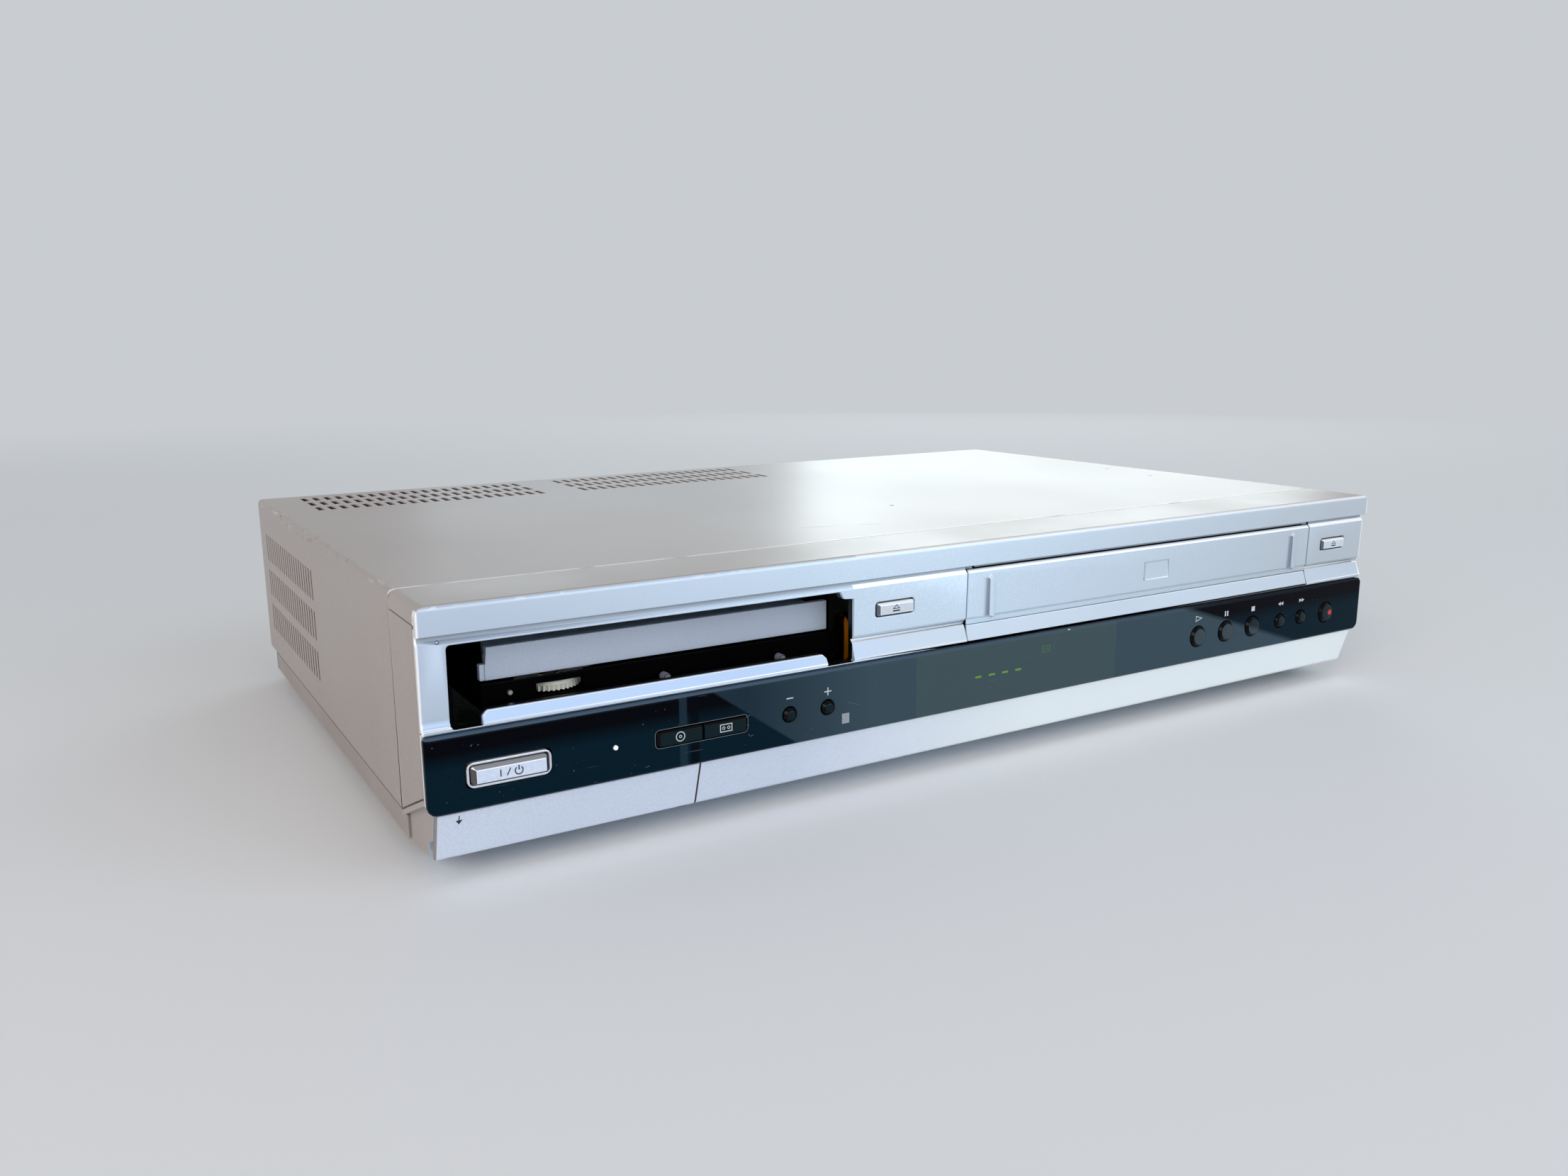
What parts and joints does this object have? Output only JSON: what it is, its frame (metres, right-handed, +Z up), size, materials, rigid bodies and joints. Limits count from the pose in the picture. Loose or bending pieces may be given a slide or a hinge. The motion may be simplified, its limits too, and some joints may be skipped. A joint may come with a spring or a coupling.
{
  "type": "dvd/vcr combo player",
  "caption": "Low silver player with a disc tray at the left, a cassette slot at the right, a gloss black key panel, a flap over front jacks, and both mechanisms inside.",
  "frame": {"origin": "middle of the footprint, on the table under the feet", "axes": "+X to the right seen from the front, +Y to the back, +Z up"},
  "size_m": [0.43, 0.2814, 0.086],
  "materials": {
    "cover_paint": "warm grey-silver paint, satin",
    "bezel_silver": "silver-painted plastic, satin",
    "trim_silver": "silver-painted plastic, satin",
    "gloss_black": "polished black",
    "key_silver": "silver-painted plastic",
    "ring_light": "bright silver",
    "steel": "plated sheet",
    "steel_dark": "dark plated sheet",
    "grey_plastic": "moulded grey",
    "black_plastic": "moulded black",
    "ivory_plastic": "moulded ivory",
    "board_green": "circuit board",
    "display_glass": "dark display window",
    "flex_orange": "orange film",
    "rubber_black": "matt rubber",
    "led_white": "clear white lens"
  },
  "bodies": {
    "cabinet": {"top_cover": "cover_paint", "bottom_chassis": "steel", "rear_panel": "steel_dark", "front_bezel": "bezel_silver", "control_panel": "gloss_black", "power_button_ring": "ring_light", "front_board": "board_green", "status_led": "led_white", "display_module": "display_glass", "lower_trim": "trim_silver", "front_jack_block": "black_plastic", "loader_frame": "black_plastic", "loading_motor": "steel", "drive_belt": "rubber_black", "traverse_plate": "steel", "clamp_bridge": "steel", "loader_bracket": "steel", "flex_cable": "flex_orange", "deck_chassis": "steel", "lower_drum": "steel", "main_board": "board_green", "power_board": "board_green", "rear_jack_block": "black_plastic", "tuner_box": "steel", "ac_inlet": "black_plastic", "foot_front_left": "rubber_black", "foot_front_right": "rubber_black", "foot_rear_left": "rubber_black", "foot_rear_right": "rubber_black"},
    "power_button_body": {"power_button": "key_silver"},
    "select_button_left_body": {"select_button_left": "gloss_black"},
    "select_button_right_body": {"select_button_right": "gloss_black"},
    "channel_down_button_body": {"channel_down_button": "gloss_black"},
    "channel_up_button_body": {"channel_up_button": "gloss_black"},
    "play_button_body": {"play_button": "gloss_black"},
    "pause_button_body": {"pause_button": "gloss_black"},
    "stop_button_body": {"stop_button": "gloss_black"},
    "rewind_button_body": {"rewind_button": "gloss_black"},
    "forward_button_body": {"forward_button": "gloss_black"},
    "record_button_body": {"record_button": "gloss_black"},
    "disc_eject_button_body": {"disc_eject_button": "key_silver"},
    "cassette_eject_button_body": {"cassette_eject_button": "key_silver"},
    "av_flap_body": {"av_flap": "trim_silver"},
    "cassette_door_body": {"cassette_door": "bezel_silver"},
    "disc_tray_body": {"disc_tray": "grey_plastic"},
    "tray_gear_body": {"tray_gear": "ivory_plastic"},
    "belt_pulley_body": {"belt_pulley": "grey_plastic"},
    "motor_pulley_body": {"motor_pulley": "steel_dark"},
    "turntable_body": {"turntable": "black_plastic"},
    "disc_clamper_body": {"disc_clamper": "black_plastic"},
    "pickup_sled_body": {"pickup_sled": "steel_dark"},
    "cassette_carriage_body": {"cassette_carriage": "steel_dark"},
    "cassette_basket_body": {"cassette_basket": "steel"},
    "supply_reel_body": {"supply_reel": "black_plastic"},
    "takeup_reel_body": {"takeup_reel": "black_plastic"},
    "upper_drum_body": {"upper_drum": "steel"},
    "capstan_body": {"capstan": "steel_dark"},
    "pinch_arm_body": {"pinch_arm": "steel_dark"},
    "pinch_roller_body": {"pinch_roller": "rubber_black"}
  },
  "joints": [
    {"name": "power_press", "type": "slide", "parent": "cabinet", "child": "power_button_body", "axis": [0, 1, 0], "range_m": [0, 0.0008], "stiffness_N_per_m": 300},
    {"name": "select_left_press", "type": "slide", "parent": "cabinet", "child": "select_button_left_body", "axis": [0, 1, 0], "range_m": [0, 0.0008], "stiffness_N_per_m": 300},
    {"name": "select_right_press", "type": "slide", "parent": "cabinet", "child": "select_button_right_body", "axis": [0, 1, 0], "range_m": [0, 0.0008], "stiffness_N_per_m": 300},
    {"name": "channel_down_press", "type": "slide", "parent": "cabinet", "child": "channel_down_button_body", "axis": [0, 1, 0], "range_m": [0, 0.0008], "stiffness_N_per_m": 300},
    {"name": "channel_up_press", "type": "slide", "parent": "cabinet", "child": "channel_up_button_body", "axis": [0, 1, 0], "range_m": [0, 0.0008], "stiffness_N_per_m": 300},
    {"name": "play_press", "type": "slide", "parent": "cabinet", "child": "play_button_body", "axis": [0, 1, 0], "range_m": [0, 0.0008], "stiffness_N_per_m": 300},
    {"name": "pause_press", "type": "slide", "parent": "cabinet", "child": "pause_button_body", "axis": [0, 1, 0], "range_m": [0, 0.0008], "stiffness_N_per_m": 300},
    {"name": "stop_press", "type": "slide", "parent": "cabinet", "child": "stop_button_body", "axis": [0, 1, 0], "range_m": [0, 0.0008], "stiffness_N_per_m": 300},
    {"name": "rewind_press", "type": "slide", "parent": "cabinet", "child": "rewind_button_body", "axis": [0, 1, 0], "range_m": [0, 0.0008], "stiffness_N_per_m": 300},
    {"name": "forward_press", "type": "slide", "parent": "cabinet", "child": "forward_button_body", "axis": [0, 1, 0], "range_m": [0, 0.0008], "stiffness_N_per_m": 300},
    {"name": "record_press", "type": "slide", "parent": "cabinet", "child": "record_button_body", "axis": [0, 1, 0], "range_m": [0, 0.0008], "stiffness_N_per_m": 300},
    {"name": "disc_eject_press", "type": "slide", "parent": "cabinet", "child": "disc_eject_button_body", "axis": [0, 1, 0], "range_m": [0, 0.0008], "stiffness_N_per_m": 300},
    {"name": "cassette_eject_press", "type": "slide", "parent": "cabinet", "child": "cassette_eject_button_body", "axis": [0, 1, 0], "range_m": [0, 0.0008], "stiffness_N_per_m": 300},
    {"name": "flap_hinge", "type": "hinge", "parent": "cabinet", "child": "av_flap_body", "pos_m": [-0.1693, -0.1309, 0.0103], "axis": [1, 0, 0], "range_deg": [0, 85]},
    {"name": "cassette_door_hinge", "type": "hinge", "parent": "cabinet", "child": "cassette_door_body", "pos_m": [0.0804, -0.1347, 0.0792], "axis": [1, 0, 0], "range_deg": [0, 86], "stiffness_Nm_per_rad": 0.02, "springref_deg": -5.73},
    {"name": "tray_slide", "type": "slide", "parent": "cabinet", "child": "disc_tray_body", "axis": [0, -1, 0], "range_m": [0, 0.138]},
    {"name": "tray_gear_spin", "type": "hinge", "parent": "cabinet", "child": "tray_gear_body", "pos_m": [-0.169, -0.1159, 0.055], "axis": [0, 0, -1], "range_deg": [0, 1320]},
    {"name": "belt_pulley_spin", "type": "hinge", "parent": "cabinet", "child": "belt_pulley_body", "pos_m": [-0.15792, -0.10911, 0.055], "axis": [0, 0, 1], "range_deg": [0, 4400]},
    {"name": "motor_pulley_spin", "type": "hinge", "parent": "cabinet", "child": "motor_pulley_body", "pos_m": [-0.12492, -0.10911, 0.055], "axis": [0, 0, 1], "range_deg": [0, 16700]},
    {"name": "turntable_spin", "type": "hinge", "parent": "cabinet", "child": "turntable_body", "pos_m": [-0.13035, -0.0613, 0.062], "axis": [0, 0, 1], "continuous": true},
    {"name": "disc_clamper_spin", "type": "hinge", "parent": "cabinet", "child": "disc_clamper_body", "pos_m": [-0.13035, -0.0613, 0.07], "axis": [0, 0, 1], "continuous": true},
    {"name": "pickup_slide", "type": "slide", "parent": "cabinet", "child": "pickup_sled_body", "axis": [0, 1, 0], "range_m": [0, 0.034]},
    {"name": "carriage_slide", "type": "slide", "parent": "cabinet", "child": "cassette_carriage_body", "axis": [0, 1, 0], "range_m": [0, 0.058]},
    {"name": "basket_lower", "type": "slide", "parent": "cassette_carriage_body", "child": "cassette_basket_body", "axis": [0, 0, -1], "range_m": [0, 0.018]},
    {"name": "supply_reel_spin", "type": "hinge", "parent": "cabinet", "child": "supply_reel_body", "pos_m": [0.0344, -0.0113, 0.0252], "axis": [0, 0, 1], "continuous": true},
    {"name": "takeup_reel_spin", "type": "hinge", "parent": "cabinet", "child": "takeup_reel_body", "pos_m": [0.1264, -0.0113, 0.0252], "axis": [0, 0, 1], "continuous": true},
    {"name": "drum_spin", "type": "hinge", "parent": "cabinet", "child": "upper_drum_body", "pos_m": [0.0804, 0.083, 0.0322], "axis": [0, -0.0872, 0.9962], "continuous": true},
    {"name": "capstan_spin", "type": "hinge", "parent": "cabinet", "child": "capstan_body", "pos_m": [0.1424, 0.0387, 0.0252], "axis": [0, 0, 1], "continuous": true},
    {"name": "pinch_arm_swing", "type": "hinge", "parent": "cabinet", "child": "pinch_arm_body", "pos_m": [0.1604, 0.0302, 0.033], "axis": [0, 0, -1], "range_deg": [-20, 4]},
    {"name": "pinch_roller_spin", "type": "hinge", "parent": "pinch_arm_body", "child": "pinch_roller_body", "pos_m": [0.1424, 0.0302, 0.035], "axis": [0, 0, 1], "continuous": true}
  ],
  "couplings": [
    {"joint": "tray_gear_spin", "follows": "tray_slide", "rad_per_m": 166.67},
    {"joint": "belt_pulley_spin", "follows": "tray_slide", "rad_per_m": 555.56},
    {"joint": "motor_pulley_spin", "follows": "tray_slide", "rad_per_m": 2098.8}
  ]
}
